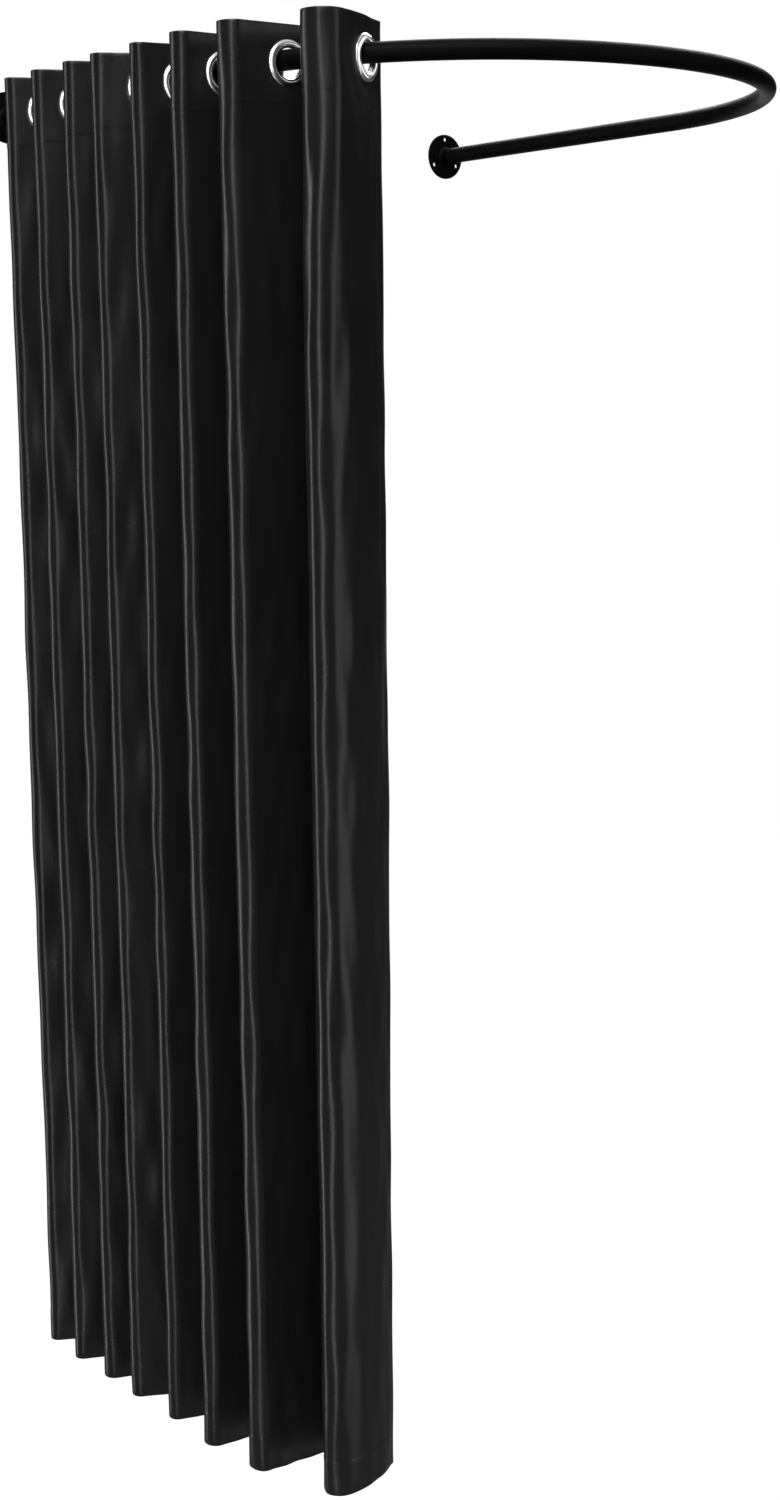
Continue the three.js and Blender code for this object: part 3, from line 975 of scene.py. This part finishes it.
def make_stitching(number):
    """Seam lines on both faces of a strip: under the top hem, over the bottom hem and beside a side hem."""
    before, after, start, end = strip_sides(number)
    left = start + (SEAM_FROM_EYELET if before else SEAM_FROM_HEM)
    right = end - (SEAM_FROM_EYELET if after else SEAM_FROM_HEM)
    lengths = np.linspace(left, right, max(SEAM_POINTS, int((right - left) / SEAM_STEP)))
    lines = [(lengths, np.full(len(lengths), height))
             for height in (TOP_HEM_LINE + SEAM_INSET, BOTTOM_HEM_LINE - SEAM_INSET)]
    heights = np.linspace(CURTAIN_TOP - SEAM_FROM_HEM, CURTAIN_BOTTOM + SEAM_FROM_HEM, SIDE_SEAM_POINTS)
    if not before:
        lines.append((np.full(len(heights), SIDE_HEM - SEAM_INSET), heights))
    if not after:
        lines.append((np.full(len(heights), TOTAL - SIDE_HEM + SEAM_INSET), heights))
    points, squares, edges = [], [], []
    for length, height in lines:
        middle, square = cloth_at(length, height)
        half = half_thickness(length, height)[:, None]
        for side in (1, -1):
            base = len(points)
            points.extend(middle + square * side * (half + STITCH_LIFT))
            squares.extend(square * side)
            edges.extend((base + i, base + i + 1) for i in range(len(length) - 1))
    name = f"stitching_{number:02d}"
    mesh = bpy.data.meshes.new(name)
    mesh.from_pydata([tuple(p) for p in points], edges, [])
    attribute = mesh.attributes.new("square", "FLOAT_VECTOR", "POINT")
    attribute.data.foreach_set("vector", np.array(squares, float).ravel())
    piece = new_object(name, mesh)
    sewn = piece.modifiers.new("sewn_line", "NODES")
    sewn.node_group = STITCH_TREE
    for item in STITCH_TREE.interface.items_tree:
        if item.name == "Thread":
            sewn[item.identifier] = THREAD
    apply_modifiers(piece)
    return piece


def make_rings(number, eyelet):
    """The front and back ring of an eyelet. Every second one is turned round, as the cloth is there."""
    body = f"eyelet_{number:02d}"
    turn = eyelet["turn"] + (0 if number % 2 == 1 else math.pi)
    rings = []
    for name, profile, node in (("face", FRONT_PROFILE, "front"), ("washer", BACK_PROFILE, "back")):
        ring = turned(f"{body}_{name}", profile, CHROME)
        settle(ring, (*eyelet["place"], eyelet["height"]), turn)
        sharpen(ring, degrees=50)
        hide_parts(f"{body}_{node}")
        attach(ring, body)
        rings.append(ring)
    return rings


def hang_strip(number, rows):
    """A strip with its stitching, held by the eyelets on its sides."""
    before, after = strip_sides(number)[:2]
    strip, width = make_strip(number, rows)
    stitching = make_stitching(number)
    held_by = [n for n in (number, number + 1) if 1 <= n <= len(LINE["eyelets"])]
    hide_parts(*[f"curtain_panel_{n:02d}" for n in held_by])
    for piece in (strip, stitching):
        if before and after:
            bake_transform(piece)
        else:
            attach(piece, f"eyelet_{held_by[0]:02d}")


def make_curtain():
    rings = []
    for number, eyelet in enumerate(LINE["eyelets"], 1):
        low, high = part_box(f"eyelet_{number:02d}_front")
        eyelet["height"] = (low.z + high.z) / 2
        rings += make_rings(number, eyelet)
    rows = row_heights()
    for number in range(len(LINE["eyelets"]) + 1):
        hang_strip(number, rows)
    return rings


RINGS = make_curtain()


# Stage and light

FLOOR_HEIGHT = -3.3
FLOOR_HALF = 30
FLOOR_TONE = (0.12, 0.12, 0.12, 1)
FLOOR_ROUGHNESS = 0.9
FLOOR_WHITE = 0.95
WHITE = (1, 1, 1, 1)
# Spans in which floor and background whiten behind the object, and in which the room lightens overhead
FLOOR_BEHIND = (0.82, 0.95)
SKY_BEHIND = (0.9, 0.985)
OVERHEAD = (0.5, 0.85)
# Brightness of the room overhead, of the rest of the room, and of what diffuse rays meet
OVERHEAD_LIGHT = 0.6
ROOM_LIGHT = 0.02
SOFT_LIGHT = 0.24
# Upright lamps: angle in plan from +X, distance from the front fold, width, foot, top and brightness
LAMPS = {
    "rim_lamp": (128, 3.0, 0.5, -3.2, 1.2, 4.0),
    "left_strip": (211, 2.6, 0.34, -3.2, 1.2, 4.2),
    "right_softbox": (301, 3.0, 1.4, -3.2, 1.2, 0.8),
}
# High lamps: angle in plan, rise, distance, width, height and brightness
HIGH_LAMPS = {
    "high_left": (222, 42, 6.0, 4.8, 3.2, 6.3),
    "high_back": (35, 40, 4.0, 3.0, 2.4, 8.0),
}
# The same for cards that only the eyelets mirror
RING_CARDS = {
    "ring_card_left": (232, 6, 4.0, 4.6, 3.0, 1.1),
    "ring_card_right": (322, 12, 3.0, 4.0, 2.4, 1.1),
}
FRONT_FOLD = (-0.45, -0.80)
HIGH_LAMP_AIM = -0.1


def combine(tree, operation, first, second):
    node = add_node(tree, "ShaderNodeMath", operation=operation)
    link(tree, first, node.inputs[0])
    link(tree, second, node.inputs[1])
    return node.outputs["Value"]


def times(tree, value, number):
    node = add_node(tree, "ShaderNodeMath", operation="MULTIPLY")
    node.inputs[1].default_value = number
    link(tree, value, node.inputs[0])
    return node.outputs["Value"]


def facing(tree, vector, towards, span, levels):
    """Goes from the first level to the second as a vector's reach towards a direction goes through a span."""
    reach = add_node(tree, "ShaderNodeVectorMath", operation="DOT_PRODUCT")
    reach.inputs[1].default_value = towards
    link(tree, vector, reach.inputs[0])
    glow = add_node(tree, "ShaderNodeMapRange", interpolation_type="SMOOTHSTEP")
    for key, number in zip(("From Min", "From Max", "To Min", "To Max"), (*span, *levels)):
        glow.inputs[key].default_value = number
    link(tree, reach.outputs["Value"], glow.inputs["Value"])
    return glow.outputs["Result"]


def seen_white(tree, behind):
    """1 for camera rays, and for gloss and transmission rays that go to the background behind the object."""
    rays = add_node(tree, "ShaderNodeLightPath").outputs
    shown = combine(tree, "ADD", rays["Is Glossy Ray"], rays["Is Transmission Ray"])
    return combine(tree, "MAXIMUM", rays["Is Camera Ray"], combine(tree, "MULTIPLY", shown, behind))


def make_stage():
    far = FLOOR_HALF
    points = [(x, y, FLOOR_HEIGHT) for x, y in ((-far, -far), (far, -far), (far, far), (-far, far))]
    material, tree, shader = new_material("pale_floor")
    shader.inputs["Base Color"].default_value = FLOOR_TONE
    shader.inputs["Roughness"].default_value = FLOOR_ROUGHNESS
    shader.inputs["Emission Color"].default_value = WHITE
    bearing = add_node(tree, "ShaderNodeVectorMath", operation="NORMALIZE")
    link(tree, add_node(tree, "ShaderNodeTexCoord").outputs["Object"], bearing.inputs[0])
    behind = facing(tree, bearing.outputs["Vector"], (*CAMERA_HEADING, 0), FLOOR_BEHIND, (0, 1))
    link(tree, times(tree, seen_white(tree, behind), FLOOR_WHITE), shader.inputs["Emission Strength"])
    floor = new_piece("floor", points, [(0, 1, 2, 3)], material, smooth=False)


def make_world():
    """White for the camera and, behind the object, in gloss; else a dim room that is lighter overhead."""
    world = bpy.data.worlds.new("studio")
    bpy.context.scene.world = world
    world.use_nodes = True
    tree = world.node_tree
    background = tree.nodes["Background"]
    direction = add_node(tree, "ShaderNodeTexCoord").outputs["Generated"]
    behind = facing(tree, direction, (*CAMERA_HEADING, 0), SKY_BEHIND, (0, 1))
    overhead = facing(tree, direction, (0, 0, 1), OVERHEAD, (ROOM_LIGHT, OVERHEAD_LIGHT))
    soft = times(tree, add_node(tree, "ShaderNodeLightPath").outputs["Is Diffuse Ray"], SOFT_LIGHT)
    strength = combine(tree, "MAXIMUM", seen_white(tree, behind), overhead)
    strength = combine(tree, "MAXIMUM", strength, soft)
    link(tree, strength, background.inputs["Strength"])
    background.inputs["Color"].default_value = WHITE


def make_panel(name, place, away, width, height, brightness):
    """A panel of light that shines against the direction `away`."""
    data = bpy.data.lights.new(name, "AREA")
    data.shape = "RECTANGLE"
    data.size = width
    data.size_y = height
    data.energy = brightness * math.pi * width * height
    lamp = new_object(name, data)
    lamp.location = place
    lamp.rotation_mode = "QUATERNION"
    lamp.rotation_quaternion = (-away).to_track_quat("-Z", "Y")
    return lamp


def make_lamp(name, angle, distance, width, foot, top, brightness):
    """An upright panel of light that faces the front fold."""
    bearing = math.radians(angle)
    away = Vector((math.cos(bearing), math.sin(bearing), 0))
    place = Vector((*FRONT_FOLD, (foot + top) / 2)) + away * distance
    make_panel(name, place, away, width, top - foot, brightness)


def make_high_lamp(name, angle, rise, distance, width, height, brightness):
    """A tilted panel of light that faces the top of the front fold."""
    bearing, lift = math.radians(angle), math.radians(rise)
    away = Vector((math.cos(bearing) * math.cos(lift), math.sin(bearing) * math.cos(lift), math.sin(lift)))
    place = Vector((*FRONT_FOLD, HIGH_LAMP_AIM)) + away * distance
    return make_panel(name, place, away, width, height, brightness)


make_stage()
make_world()
for lamp_name, settings in LAMPS.items():
    make_lamp(lamp_name, *settings)
for lamp_name, settings in HIGH_LAMPS.items():
    make_high_lamp(lamp_name, *settings)
EYELETS = bpy.data.collections.new("eyelets")
for eyelet_ring in RINGS:
    EYELETS.objects.link(eyelet_ring)
for lamp_name, settings in RING_CARDS.items():
    make_high_lamp(lamp_name, *settings).light_linking.receiver_collection = EYELETS

bpy.context.scene.view_settings.view_transform = "Standard"
